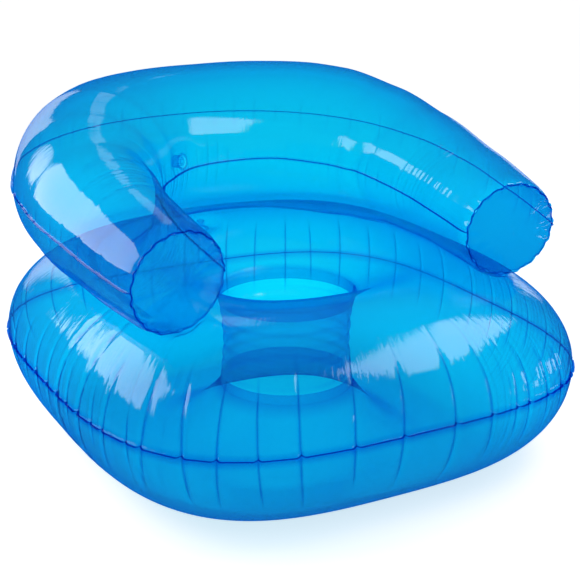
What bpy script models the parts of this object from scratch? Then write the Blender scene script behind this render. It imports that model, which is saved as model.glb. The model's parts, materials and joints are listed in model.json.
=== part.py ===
"""Inflatable pool chair, blown up: a rounded square seat cushion round an open centre column,
with a U-shaped tube on top that makes the backrest and the two arms.

Metres, +Z up. The chair stands on z = 0 and faces -Y. Its origin is the middle of its footprint.
Every sheet is a thin film, lofted between unlike sections and given its thickness by Solidify.
"""
import math

import bmesh
import bpy
from mathutils import Matrix, Vector

# Film, welds and fits
FILM = 0.0004
GAP = 0.0003
WELD_MARGIN = 0.005
MERGE = 0.00001

# Seat cushion, measured from the middle of its weld line. Its width, front, back, drop and
# rise are the main sizes of the chair, and the column and the bolster take their places from them
SEAT_HALF_WIDTH = 0.526
SEAT_FRONT = 0.568
SEAT_BACK = 0.548
SEAT_CORNER_POWER = 3.3
SEAT_DROP = 0.206
SEAT_RISE = 0.190
SEAT_BACK_RISE = 0.208
SEAT_CREST_SHARE = 0.425
SEAT_TROUGH_SHARE = 0.460
FLOOR_FLAT = 0.004
SEAT_PLEAT = 0.005
SEAT_PLEAT_START_SHARE = 0.75
SEAT_DIMPLE_POWER = 2.0
SEAT_HOLLOW_POWER = 2.5
SEAT_COLUMNS = 64
# Where the rows of each sheet lie, as shares of the way from the column to the weld line
SEAT_TOP_ROW_SHARES = (0.20, SEAT_CREST_SHARE, 0.66, 0.85, 0.96)
SEAT_BOTTOM_ROW_SHARES = (0.77, 0.89, 0.97)

# Centre column, a strip of film rolled into a waisted tube that joins the two seat sheets
COLUMN_SET_BACK = -0.040
COLUMN_TOP_RADIUS = 0.1485
COLUMN_WAIST_RADIUS = 0.134
COLUMN_BOTTOM_RADIUS = 0.143
COLUMN_TOP_SHARE = 0.595
COLUMN_BOTTOM_SHARE = 0.444
COLUMN_HEM = 0.022
COLUMN_LAP_ANGLE = math.radians(105)

# Bolster, in its own tilted plane. The first three shares are of the seat's half width, front and
# back, and the fourth is the straight arms' share of the bolster's depth
BOLSTER_WIDTH_SHARE = 0.728
BOLSTER_FRONT_SHARE = 0.558
BOLSTER_BACK_SHARE = 0.700
BOLSTER_ARM_SHARE = 0.400
BOLSTER_END_LIFT = 0.105
BOLSTER_TILT = math.radians(7.8)
BOLSTER_TOE_IN = 0.020
BOLSTER_BEND_POWER = 2.35
BOLSTER_RADIUS = 0.166
BOLSTER_END_RADIUS = 0.094
BOLSTER_END_ROUNDING = 0.030
BOLSTER_BELLY_SHARE = 1.05
BOLSTER_PLEAT = 0.004
BOLSTER_PLEAT_START_SHARE = 0.2
BOLSTER_SECTIONS = 52
BOLSTER_STEPS = 8
# Each pair is a share of the way from arm end to back, and a share of the tube radius at the back
BOLSTER_RADIUS_SHARES = (
    (0.00, 0.612), (0.20, 0.690), (0.40, 0.805), (0.53, 0.925),
    (0.65, 1.018), (0.73, 1.028), (0.85, 1.010), (1.00, 1.000),
)
END_DOME = 0.009
DISC_STEPS = 32

# Where the bolster is welded to the seat: a plane that both are pressed flat against. Its two
# heights are shares of the seat's rise
CONTACT_END_SHARE = 0.842
CONTACT_BACK_SHARE = 1.016
CONTACT_WIDTH_SHARE = 0.76
CONTACT_BLEND_SHARE = 1.10
WELD_STRIP_WIDTH = 0.016
WELD_STRIP_END_SHARE = 0.06

# Valves, the same moulding in the seat and in the bolster
VALVE_FLANGE_RADIUS = 0.0185
VALVE_FLANGE_THICKNESS = 0.0020
VALVE_COLLAR_WALL = 0.0010
VALVE_COLLAR_DEPTH = 0.0215
VALVE_THROAT_RADIUS = 0.0128
VALVE_STEM_RADIUS = 0.0090
VALVE_STEM_LENGTH = 0.0185
VALVE_BORE_RADIUS = 0.0052
VALVE_FOOT_HEIGHT = 0.0020
VALVE_CAP_RADIUS = 0.0090
VALVE_CAP_THICKNESS = 0.0016
VALVE_PLUG_DEPTH = 0.0040
VALVE_PLUG_TAPER = 0.0005
VALVE_HINGE_OFFSET = 0.0105
VALVE_STRAP_WIDTH = 0.0060
VALVE_STRAP_THICKNESS = 0.0010
VALVE_FLAP_RADIUS = 0.0068
VALVE_FLAP_THICKNESS = 0.0008
VALVE_TRAVEL = 0.0180
VALVE_STEPS = 24
# Each pair is a place in a sheet's grid: how far across it and how far round or along it
SEAT_VALVE_SHARES = (0.316, 0.962)
BOLSTER_VALVE_SHARES = (0.868, 0.611)

# Places worked out from the sizes above
SEAT_Y = (SEAT_FRONT - SEAT_BACK) / 2
SEAM_Z = SEAT_DROP - FLOOR_FLAT + FILM
COLUMN_Y = SEAT_Y + COLUMN_SET_BACK
COLUMN_TOP = COLUMN_TOP_SHARE * SEAT_RISE
COLUMN_BOTTOM = COLUMN_BOTTOM_SHARE * SEAT_DROP
CONTACT_END_HEIGHT = CONTACT_END_SHARE * SEAT_RISE
CONTACT_BACK_HEIGHT = CONTACT_BACK_SHARE * SEAT_RISE
BOLSTER_HALF_WIDTH = BOLSTER_WIDTH_SHARE * SEAT_HALF_WIDTH
BOLSTER_END_Y = -BOLSTER_FRONT_SHARE * SEAT_FRONT
BOLSTER_END_HEIGHT = CONTACT_END_HEIGHT + BOLSTER_END_LIFT
BOLSTER_RUN = BOLSTER_BACK_SHARE * SEAT_BACK - BOLSTER_END_Y
BOLSTER_DEPTH = BOLSTER_RUN / math.cos(BOLSTER_TILT)
BOLSTER_ARM_LENGTH = BOLSTER_ARM_SHARE * BOLSTER_DEPTH

VINYL_BLUE = (0.0, 0.42, 0.80, 1.0)
WELD_BLUE = (0.0, 0.26, 0.62, 1.0)
VALVE_BLUE = (0.10, 0.62, 0.86, 1.0)


# Scene helpers

def clear_scene():
    for item in list(bpy.data.objects):
        bpy.data.objects.remove(item, do_unlink=True)


def make_collection(name):
    group = bpy.data.collections.new(name)
    bpy.context.scene.collection.children.link(group)
    return group


def make_material(name, colour, roughness):
    material = bpy.data.materials.new(name)
    material.use_nodes = True
    shader = material.node_tree.nodes["Principled BSDF"]
    shader.inputs["Base Color"].default_value = colour
    shader.inputs["Roughness"].default_value = roughness
    shader.inputs["Metallic"].default_value = 0.0
    return material


def make_empty(name, matrix, group, parent=None):
    empty = bpy.data.objects.new(name, None)
    empty.parent = parent
    empty.matrix_local = matrix
    group.objects.link(empty)
    return empty


def add_object(name, mesh, material, group, parent=None):
    item = bpy.data.objects.new(name, mesh)
    item.data.materials.append(material)
    item.parent = parent
    group.objects.link(item)
    return item


# Film sheets

def grid_mesh(name, rows, closed, flip):
    """A surface through rows of points, closed round each row where closed is set."""
    mesh = bpy.data.meshes.new(name)
    grid = bmesh.new()
    lines = [[grid.verts.new(point) for point in row] for row in rows]
    count = len(rows[0])
    last = count if closed else count - 1
    for inner, outer in zip(lines[:-1], lines[1:]):
        for index in range(last):
            following = (index + 1) % count
            corners = [inner[index], inner[following], outer[following], outer[index]]
            if flip:
                corners.reverse()
            grid.faces.new(corners)
    grid.to_mesh(mesh)
    grid.free()
    mesh.shade_smooth()
    mesh.set_sharp_from_angle(angle=math.radians(50))
    return mesh


def film_sheet(name, rows, closed, flip, material, group, parent=None):
    """A film whose drawn surface is its inner face: its thickness grows outwards from there."""
    sheet = add_object(name, grid_mesh(name, rows, closed, flip), material, group, parent)
    solidify = sheet.modifiers.new("film", "SOLIDIFY")
    solidify.thickness = FILM
    solidify.offset = 1.0
    return sheet


def cut_hole(sheet, matrix, radius, depth, group):
    """Cut the round hole for a valve through a sheet, square to the valve's axis."""
    shape = bmesh.new()
    bmesh.ops.create_cone(shape, cap_ends=True, segments=VALVE_STEPS, radius1=radius,
                          radius2=radius, depth=depth)
    mesh = bpy.data.meshes.new(sheet.name + "_hole")
    shape.to_mesh(mesh)
    shape.free()
    cutter = bpy.data.objects.new(sheet.name + "_hole", mesh)
    group.objects.link(cutter)
    cutter.matrix_world = matrix
    cutter.hide_render = True
    cutter.display_type = "WIRE"
    cut = sheet.modifiers.new("valve hole", "BOOLEAN")
    cut.operation = "DIFFERENCE"
    cut.object = cutter


def surface_frame(rows, shares, closed, outward):
    """A frame on a sheet's grid at the given shares across and along it, Z out of the sheet."""
    across = shares[0] * (len(rows) - 1)
    steps = len(rows[0]) if closed else len(rows[0]) - 1
    along = shares[1] * steps
    row = min(int(across), len(rows) - 2)
    column = min(int(along), steps - 1)
    following = (column + 1) % len(rows[0])
    near, far = rows[row], rows[row + 1]
    u, v = across - row, along - column
    low = near[column].lerp(near[following], v)
    high = far[column].lerp(far[following], v)
    point = low.lerp(high, u)
    first = (high - low).normalized()
    second = (near[following] - near[column]).lerp(far[following] - far[column], u)
    normal = first.cross(second).normalized()
    if normal.dot(outward) < 0:
        normal.negate()
    side = (first - normal * first.dot(normal)).normalized()
    other = normal.cross(side)
    frame = Matrix((side, other, normal)).transposed().to_4x4()
    frame.translation = point + normal * FILM
    return frame


def eased_share(part):
    """A share from 0 to 1 that starts and ends gently."""
    return part * part * (3 - 2 * part)


# Seat cushion

def seat_edge(angle):
    """The cushion's weld line in plan: a rounded square, deeper in front than behind."""
    across = math.sin(angle)
    along = math.cos(angle)
    depth = SEAT_BACK if along > 0 else SEAT_FRONT
    power = SEAT_CORNER_POWER
    reach = (abs(across / SEAT_HALF_WIDTH) ** power + abs(along / depth) ** power) ** (-1 / power)
    return Vector((across * reach, SEAT_Y + along * reach, 0))


def column_edge(angle, radius):
    return Vector((math.sin(angle) * radius, COLUMN_Y + math.cos(angle) * radius, 0))


def seat_rise(angle):
    """The crest is higher behind, where the cushion is wider between column and edge."""
    behind = max(0.0, math.cos(angle)) ** 2
    return SEAT_RISE + (SEAT_BACK_RISE - SEAT_RISE) * behind


def crown(share, crest_share, height, ring_height, power):
    """Height over the weld plane, from the column ring at share 0 to the weld line at share 1."""
    if share >= crest_share:
        out = (share - crest_share) / (1 - crest_share)
        return height * math.sqrt(max(0.0, 1 - out * out))
    inward = (crest_share - share) / crest_share
    return height - (height - ring_height) * inward ** power


def pleat(column, share):
    """Every other column is drawn in at the weld line, less so away from it."""
    start = SEAT_PLEAT_START_SHARE
    near_seam = max(0.0, (share - start) / (1 - start))
    return SEAT_PLEAT * near_seam if column % 2 else 0.0


def seat_ring(share, radius, height_of):
    """One closed row of the cushion's loft, from the round column to the rounded square edge."""
    row = []
    for column in range(SEAT_COLUMNS):
        angle = 2 * math.pi * column / SEAT_COLUMNS
        inner = column_edge(angle, radius)
        outer = seat_edge(angle)
        outward = (outer - inner).normalized()
        point = inner.lerp(outer, share) - outward * pleat(column, share)
        row.append(point + Vector((0, 0, height_of(angle, share))))
    return row


def seat_margin(height):
    """The outer edge of the flat weld margin, which follows the pleats."""
    row = []
    for column in range(SEAT_COLUMNS):
        angle = 2 * math.pi * column / SEAT_COLUMNS
        outer = seat_edge(angle)
        outward = (outer - column_edge(angle, COLUMN_TOP_RADIUS)).normalized()
        row.append(outer + outward * (WELD_MARGIN - pleat(column, 1)) + Vector((0, 0, height)))
    return row


def column_radius(height):
    """The column's inner radius at a height over the seat's weld plane: narrowest at the waist."""
    middle = (COLUMN_TOP - COLUMN_BOTTOM) / 2
    half = (COLUMN_TOP + COLUMN_BOTTOM) / 2
    out = abs(height - middle) / half
    end = COLUMN_TOP_RADIUS if height > middle else COLUMN_BOTTOM_RADIUS
    return COLUMN_WAIST_RADIUS + (end - COLUMN_WAIST_RADIUS) * out ** 2


def ring_row(radius, height):
    row = []
    for column in range(SEAT_COLUMNS):
        angle = 2 * math.pi * column / SEAT_COLUMNS
        row.append(column_edge(angle, radius) + Vector((0, 0, SEAM_Z + height)))
    return row


# Bolster

def bolster_radius(share):
    """Tube radius at a share of the way from an arm end to the middle of the back."""
    pairs = BOLSTER_RADIUS_SHARES
    for (start, low), (end, high) in zip(pairs[:-1], pairs[1:]):
        if share <= end:
            part = (share - start) / (end - start)
            blend = (part + eased_share(part)) / 2
            return BOLSTER_RADIUS * (low + (high - low) * blend)
    return BOLSTER_RADIUS * pairs[-1][1]


def bolster_half_line(count=400):
    """The right half of the tube's centreline in its own plane, from arm end to back."""
    points = []
    arm_count = count // 3
    for index in range(arm_count):
        along = BOLSTER_ARM_LENGTH * index / arm_count
        before = 1 - along / BOLSTER_ARM_LENGTH
        points.append(Vector((BOLSTER_HALF_WIDTH - BOLSTER_TOE_IN * before ** 2, along, 0)))
    reach_y = BOLSTER_DEPTH - BOLSTER_ARM_LENGTH
    power = BOLSTER_BEND_POWER
    for index in range(count - arm_count + 1):
        angle = math.pi / 2 * index / (count - arm_count)
        across = math.cos(angle)
        along = math.sin(angle)
        size = (across ** power + along ** power) ** (-1 / power)
        points.append(Vector((BOLSTER_HALF_WIDTH * across * size,
                              BOLSTER_ARM_LENGTH + reach_y * along * size, 0)))
    return points


def stations(shares):
    """Centre, tangent and side of the tube at shares of its whole length, from right to left."""
    half = bolster_half_line()
    whole = half + [Vector((-point.x, point.y, 0)) for point in reversed(half[:-1])]
    lengths = [0.0]
    for before, after in zip(whole[:-1], whole[1:]):
        lengths.append(lengths[-1] + (after - before).length)
    total = lengths[-1]
    found = []
    index = 0
    for share in shares:
        goal = share * total
        while index < len(whole) - 2 and lengths[index + 1] < goal:
            index += 1
        part = (goal - lengths[index]) / (lengths[index + 1] - lengths[index])
        centre = whole[index].lerp(whole[index + 1], part)
        before = whole[max(index - 3, 0)]
        after = whole[min(index + 4, len(whole) - 1)]
        tangent = (after - before).normalized()
        inward = Vector((-tangent.y, tangent.x, 0))
        near_end = min(share, 1 - share)
        radius = bolster_radius(2 * near_end)
        from_end = near_end * total
        if from_end < BOLSTER_END_ROUNDING:
            short = 1 - from_end / BOLSTER_END_ROUNDING
            fill = math.sqrt(1 - short * short)
            radius = BOLSTER_END_RADIUS + (radius - BOLSTER_END_RADIUS) * fill
        found.append((centre, tangent, inward, radius))
    return found


def contact_height(y):
    """World height of the plane in which the bolster and the seat are welded together."""
    start = SEAT_Y + BOLSTER_END_Y
    part = (y - start) / BOLSTER_RUN
    return SEAM_Z + CONTACT_END_HEIGHT + (CONTACT_BACK_HEIGHT - CONTACT_END_HEIGHT) * part


def section_shares():
    """Section places along the tube: close together at the two rounded ends."""
    half = bolster_half_line()
    length = 2 * sum((after - before).length for before, after in zip(half[:-1], half[1:]))
    rounding = BOLSTER_END_ROUNDING / length
    inner = [rounding + (1 - 2 * rounding) * index / (BOLSTER_SECTIONS - 4)
             for index in range(BOLSTER_SECTIONS - 3)]
    return [0.0, rounding / 3] + inner + [1 - rounding / 3, 1.0]


def tube_rows(side, belly, frame):
    """Rows of a half tube, each along one line of the tube. Side is 1 above and -1 below."""
    shares = section_shares()
    places = stations(shares)
    to_local = frame.inverted()
    sections = []
    for index, (centre, tangent, inward, radius) in enumerate(places):
        bend = min(shares[index], 1 - shares[index])
        drawn = BOLSTER_PLEAT if index % 2 and bend > BOLSTER_PLEAT_START_SHARE else 0.0
        lift = Vector((0, 0, side * GAP / 2))
        edge_out = centre - inward * (radius + WELD_MARGIN - drawn) + lift
        edge_in = centre + inward * (radius + WELD_MARGIN) + lift
        points = [edge_out]
        for step in range(BOLSTER_STEPS + 1):
            turn = math.pi * step / BOLSTER_STEPS
            across = -math.cos(turn)
            near_seam = max(0.0, -across) ** 6
            up = side * math.sin(turn) * radius * belly
            point = centre + inward * (across * radius + drawn * near_seam)
            point = point + Vector((0, 0, up)) + lift
            points.append(press(point, frame, to_local) if side < 0 else point)
        points.append(edge_in)
        sections.append(points)
    for end in (0, -1):
        centre, tangent, inward, radius = places[end]
        sections.insert(0 if end == 0 else len(sections),
                        end_margin(sections[end], centre, radius))
    return [list(row) for row in zip(*sections)]


def end_margin(points, centre, radius):
    """The margin at an arm end, turned out square to the tube, where the end disc is welded."""
    turned = []
    for point in points:
        outward = (point - centre).normalized()
        turned.append(point + outward * WELD_MARGIN)
    return turned


def press(point, frame, to_local):
    """Press a point of the lower sheet up onto the plane in which it is welded to the seat."""
    world = frame @ point
    floor = contact_height(world.y) + FILM / 2 + GAP + FILM
    if world.z < floor:
        world.z = floor
    return to_local @ world


def contact_line(frame, count=160):
    """World centreline of the bolster and its radius, for pressing the seat down under it."""
    shares = [index / count for index in range(count + 1)]
    return [(frame @ centre, radius) for centre, tangent, inward, radius in stations(shares)]


def pressed_seat(rows, line):
    """Press the seat's top sheet down where the bolster lies on it."""
    for row in rows:
        for point in row:
            ceiling = contact_height(point.y) - FILM / 2 - GAP - FILM
            if point.z <= ceiling:
                continue
            nearest = min(line, key=lambda place: (place[0].xy - point.xy).length)
            distance = (nearest[0].xy - point.xy).length
            start = CONTACT_WIDTH_SHARE * nearest[1]
            finish = CONTACT_BLEND_SHARE * nearest[1]
            part = min(1.0, max(0.0, (distance - start) / (finish - start)))
            point.z = ceiling + (point.z - ceiling) * eased_share(part)
    return rows


# Turned pieces

def turned(name, profile, material, group, parent, steps=VALVE_STEPS):
    """A closed profile of radius and height pairs, turned round Z."""
    mesh = bpy.data.meshes.new(name)
    outline = bmesh.new()
    points = [outline.verts.new((radius, 0, height)) for radius, height in profile]
    on_axis = profile[0][0] == 0 and profile[-1][0] == 0
    for before, after in zip(points[:-1], points[1:]):
        outline.edges.new((before, after))
    if not on_axis:
        outline.edges.new((points[-1], points[0]))
    outline.to_mesh(mesh)
    outline.free()
    item = add_object(name, mesh, material, group, parent)
    screw = item.modifiers.new("turn", "SCREW")
    screw.angle = 2 * math.pi
    screw.steps = steps
    screw.render_steps = steps
    screw.use_merge_vertices = True
    screw.merge_threshold = MERGE
    screw.use_smooth_shade = True
    return item


def box_mesh(name, low, high):
    """A box between two corners."""
    mesh = bpy.data.meshes.new(name)
    shape = bmesh.new()
    bmesh.ops.create_cube(shape, size=1)
    size = Vector(high) - Vector(low)
    middle = (Vector(high) + Vector(low)) / 2
    bmesh.ops.transform(shape, matrix=Matrix.Translation(middle) @ Matrix.Diagonal(size.to_4d()),
                        verts=shape.verts)
    shape.to_mesh(mesh)
    shape.free()
    return mesh


def fuse(item, extra, name):
    """Join another closed body to a piece by a Boolean union."""
    union = item.modifiers.new(name, "BOOLEAN")
    union.operation = "UNION"
    union.object = extra


def hidden_body(name, mesh, group, parent):
    body = bpy.data.objects.new(name, mesh)
    body.parent = parent
    body.hide_render = True
    body.display_type = "WIRE"
    group.objects.link(body)
    return body


# Valves

def make_valve(prefix, frame, rise, material, group, cutters, parent):
    """A valve on a sheet: flange with collar, sliding stem, cap on its strap, and inner flap.

    Rise is how far the stem stands out of the collar: nothing when it is pushed in flush.
    """
    root = make_empty(prefix + "_axis", frame, group, parent)
    top = VALVE_FLANGE_THICKNESS / 2
    throat = VALVE_THROAT_RADIUS
    wall = throat + VALVE_COLLAR_WALL
    turned(prefix + "_flange", (
        (throat, top), (VALVE_FLANGE_RADIUS, top), (VALVE_FLANGE_RADIUS, -top), (wall, -top),
        (wall, -VALVE_COLLAR_DEPTH), (throat, -VALVE_COLLAR_DEPTH),
    ), material, group, root)

    rim = rise + top - VALVE_CAP_THICKNESS - GAP
    stem_frame = Matrix.Translation((0, 0, rim))
    stem_root = make_empty(prefix + "_stem_axis", stem_frame, group, root)
    foot = VALVE_THROAT_RADIUS - GAP
    bottom = -VALVE_STEM_LENGTH
    stem = turned(prefix + "_stem", (
        (VALVE_BORE_RADIUS, 0), (VALVE_STEM_RADIUS, 0),
        (VALVE_STEM_RADIUS, bottom + VALVE_FOOT_HEIGHT), (foot, bottom + VALVE_FOOT_HEIGHT),
        (foot, bottom), (VALVE_BORE_RADIUS, bottom),
    ), material, group, stem_root)
    ear_reach = VALVE_HINGE_OFFSET - GAP - VALVE_STRAP_THICKNESS / 2
    half_strap = VALVE_STRAP_WIDTH / 2
    ear = hidden_body(prefix + "_ear", box_mesh(
        prefix + "_ear",
        (-ear_reach, -half_strap, -VALVE_CAP_THICKNESS),
        (-VALVE_STEM_RADIUS + VALVE_STRAP_THICKNESS, half_strap, -GAP)), cutters, stem_root)
    fuse(stem, ear, "strap ear")

    cap_root = make_empty(prefix + "_cap_axis", Matrix.Translation((-VALVE_HINGE_OFFSET, 0, 0)),
                          group, stem_root)
    plug_top = VALVE_BORE_RADIUS - GAP
    plug_end = plug_top - VALVE_PLUG_TAPER
    cap = turned(prefix + "_cap", (
        (0, VALVE_CAP_THICKNESS + GAP), (VALVE_CAP_RADIUS, VALVE_CAP_THICKNESS + GAP),
        (VALVE_CAP_RADIUS, GAP), (plug_top, GAP), (plug_end, -VALVE_PLUG_DEPTH),
        (0, -VALVE_PLUG_DEPTH),
    ), material, group, cap_root)
    cap.location = (VALVE_HINGE_OFFSET, 0, 0)
    half_thick = VALVE_STRAP_THICKNESS / 2
    strap = hidden_body(prefix + "_strap", box_mesh(
        prefix + "_strap",
        (-half_thick, -half_strap, GAP),
        (VALVE_HINGE_OFFSET - VALVE_CAP_RADIUS + VALVE_STRAP_THICKNESS, half_strap,
         GAP + VALVE_STRAP_THICKNESS)), cutters, cap_root)
    fuse(cap, strap, "strap")

    flap_hinge = VALVE_FLAP_RADIUS + VALVE_FLAP_THICKNESS
    flap_root = make_empty(prefix + "_flap_axis",
                           Matrix.Translation((-flap_hinge, 0, bottom - GAP)), group, stem_root)
    flap = turned(prefix + "_flap", (
        (0, 0), (VALVE_FLAP_RADIUS, 0), (VALVE_FLAP_RADIUS, -VALVE_FLAP_THICKNESS),
        (0, -VALVE_FLAP_THICKNESS),
    ), material, group, flap_root, steps=VALVE_STEPS // 2)
    flap.location = (flap_hinge, 0, 0)
    tab = hidden_body(prefix + "_tab", box_mesh(
        prefix + "_tab",
        (0, -half_thick, -VALVE_FLAP_THICKNESS),
        (flap_hinge - VALVE_FLAP_RADIUS / 2, half_thick, -VALVE_FLAP_THICKNESS / 2)),
        cutters, flap_root)
    fuse(flap, tab, "hinge tab")
    return root


# Sheets

def make_seat(group, cutters, bolster_frame):
    vinyl = make_material("seat vinyl", VINYL_BLUE, 0.06)
    bottom_vinyl = make_material("seat bottom vinyl", VINYL_BLUE, 0.06)
    line = contact_line(bolster_frame)

    def top_height(angle, share):
        rise = seat_rise(angle)
        return SEAM_Z + crown(share, SEAT_CREST_SHARE, rise, COLUMN_TOP, SEAT_DIMPLE_POWER)

    def bottom_height(angle, share):
        drop = crown(share, SEAT_TROUGH_SHARE, SEAT_DROP, COLUMN_BOTTOM, SEAT_HOLLOW_POWER)
        return SEAM_Z - min(drop, SEAT_DROP - FLOOR_FLAT)

    rows = [ring_row(column_radius(COLUMN_TOP - COLUMN_HEM) - GAP, COLUMN_TOP - COLUMN_HEM)]
    rows.append(ring_row(COLUMN_TOP_RADIUS - GAP, COLUMN_TOP))
    for share in SEAT_TOP_ROW_SHARES:
        rows.append(seat_ring(share, COLUMN_TOP_RADIUS, top_height))
    seam = SEAM_Z + GAP / 2
    rows.append(seat_ring(1.0, COLUMN_TOP_RADIUS, lambda angle, share: seam))
    rows.append(seat_margin(seam))
    top_rows = pressed_seat(rows, line)
    top_sheet = film_sheet("seat_top_sheet", top_rows, True, False, vinyl, group)

    rows = [ring_row(column_radius(COLUMN_HEM - COLUMN_BOTTOM) - GAP, COLUMN_HEM - COLUMN_BOTTOM)]
    rows.append(ring_row(COLUMN_BOTTOM_RADIUS - GAP, -COLUMN_BOTTOM))
    flat_out = math.sqrt(1 - ((SEAT_DROP - FLOOR_FLAT) / SEAT_DROP) ** 2)
    flat_in = (FLOOR_FLAT / (SEAT_DROP - COLUMN_BOTTOM)) ** (1 / SEAT_HOLLOW_POWER)
    flat_shares = (SEAT_TROUGH_SHARE * (1 - flat_in),
                   SEAT_TROUGH_SHARE + (1 - SEAT_TROUGH_SHARE) * flat_out)
    for share in flat_shares + SEAT_BOTTOM_ROW_SHARES:
        rows.append(seat_ring(share, COLUMN_BOTTOM_RADIUS, bottom_height))
    seam = SEAM_Z - GAP / 2
    rows.append(seat_ring(1.0, COLUMN_BOTTOM_RADIUS, lambda angle, share: seam))
    rows.append(seat_margin(seam))
    film_sheet("seat_bottom_sheet", rows, True, True, bottom_vinyl, group)
    return top_sheet, top_rows


def make_column(group):
    """The strip rolled round past a full turn, so that its end laps over its start."""
    vinyl = make_material("column vinyl", WELD_BLUE, 0.08)
    low = -COLUMN_BOTTOM + GAP + FILM
    high = COLUMN_TOP - GAP - FILM
    hem_low = COLUMN_HEM - COLUMN_BOTTOM
    hem_high = COLUMN_TOP - COLUMN_HEM
    middle = [hem_low + (hem_high - hem_low) * index / 4 for index in range(1, 4)]
    first = round(COLUMN_LAP_ANGLE / (2 * math.pi) * SEAT_COLUMNS)
    rows = []
    for height in [low, hem_low] + middle + [hem_high, high]:
        row = []
        for step in range(SEAT_COLUMNS + 2):
            angle = 2 * math.pi * (first + step) / SEAT_COLUMNS
            lap = FILM + 2 * GAP if step >= SEAT_COLUMNS else 0.0
            point = column_edge(angle, column_radius(height) + lap)
            row.append(point + Vector((0, 0, SEAM_Z + height)))
        rows.append(row)
    film_sheet("column_wall", rows, False, True, vinyl, group)


def make_bolster(group, cutters, root, frame):
    vinyl = make_material("bolster vinyl", VINYL_BLUE, 0.06)
    lower_vinyl = make_material("bolster lower vinyl", VINYL_BLUE, 0.06)
    upper_rows = tube_rows(1, 1.0, frame)
    upper = film_sheet("bolster_upper_sheet", upper_rows, False, False, vinyl, group, root)
    lower_rows = tube_rows(-1, BOLSTER_BELLY_SHARE, frame)
    film_sheet("bolster_lower_sheet", lower_rows, False, True, lower_vinyl, group, root)
    return upper, upper_rows


def make_end_discs(group, root):
    """The round film that closes each arm: a shallow dome inside its flat weld margin."""
    vinyl = make_material("end disc vinyl", VINYL_BLUE, 0.06)
    ends = stations([0.0, 1.0])
    for name, (centre, tangent, inward, radius), sign in (
            ("right_arm_end", ends[0], -1), ("left_arm_end", ends[1], 1)):
        outward = tangent * sign
        side = Vector((0, 0, 1)).cross(outward)
        turn = Matrix((side, Vector((0, 0, 1)), outward)).transposed().to_4x4()
        turn.translation = centre + outward * (FILM + GAP)
        disc_frame = make_empty(name + "_frame", turn, group, root)
        inner_face = []
        for share in (0, 0.35, 0.7, 1):
            inner_face.append((BOLSTER_END_RADIUS * share, END_DOME * (1 - share ** 2)))
        inner_face.append((BOLSTER_END_RADIUS + WELD_MARGIN, 0))
        outer_face = [(reach, height + FILM) for reach, height in inner_face]
        turned(name + "_disc", outer_face + inner_face[::-1], vinyl, group, disc_frame,
               steps=DISC_STEPS)


def make_weld_strip(group, frame):
    """The welded band between the bolster and the seat, flat in their contact plane."""
    weld = make_material("weld band", WELD_BLUE, 0.15)
    count = BOLSTER_SECTIONS
    span = 1 - 2 * WELD_STRIP_END_SHARE
    shares = [WELD_STRIP_END_SHARE + span * index / count for index in range(count + 1)]
    outer, inner = [], []
    for centre, tangent, inward, radius in stations(shares):
        for row, reach in ((outer, -WELD_STRIP_WIDTH / 2), (inner, WELD_STRIP_WIDTH / 2)):
            point = frame @ (centre + inward * reach)
            point.z = contact_height(point.y) - FILM / 2
            row.append(point)
    film_sheet("bolster_weld_band", [outer, inner], False, False, weld, group)


def main():
    clear_scene()
    group = make_collection("inflatable pool chair")
    cutters = make_collection("cutters")
    bolster_matrix = Matrix.Translation((0, SEAT_Y + BOLSTER_END_Y, SEAM_Z + BOLSTER_END_HEIGHT))
    bolster_matrix = bolster_matrix @ Matrix.Rotation(BOLSTER_TILT, 4, "X")
    bolster_root = make_empty("bolster_frame", bolster_matrix, group)

    seat_top, seat_rows = make_seat(group, cutters, bolster_matrix)
    make_column(group)
    bolster_top, bolster_rows = make_bolster(group, cutters, bolster_root, bolster_matrix)
    make_end_discs(group, bolster_root)
    make_weld_strip(group, bolster_matrix)

    rubber = make_material("valve vinyl", VALVE_BLUE, 0.25)
    hole = VALVE_FLANGE_RADIUS + GAP
    depth = 4 * VALVE_FLANGE_THICKNESS
    up = Vector((0, 0, 1))
    seat_frame = surface_frame(seat_rows, SEAT_VALVE_SHARES, True, up)
    make_valve("seat_valve", seat_frame, VALVE_TRAVEL, rubber, group, cutters, None)
    cut_hole(seat_top, seat_frame, hole, depth, cutters)

    towards_seat = Vector((1, -1, 0))
    bolster_frame = surface_frame(bolster_rows, BOLSTER_VALVE_SHARES, False, towards_seat)
    make_valve("bolster_valve", bolster_frame, 0.0, rubber, group, cutters, bolster_root)
    cut_hole(bolster_top, bolster_matrix @ bolster_frame, hole, depth, cutters)


main()
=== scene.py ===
# %% [markdown]
# # A blown-up pool chair of clear blue film
#
# The chair is a few sheets of soft vinyl, welded edge to edge and held out by air. There is
# nothing hard in it. What makes it look real is what the air does to flat sheets: they stretch
# smooth in the middle, gather into pleats along every weld, and crumple inside the bends.
# This lesson lays one fine sheet over each CAD sheet, then gives them a film that light passes.

# %% Load the fixed frame
import json
import math

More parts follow.
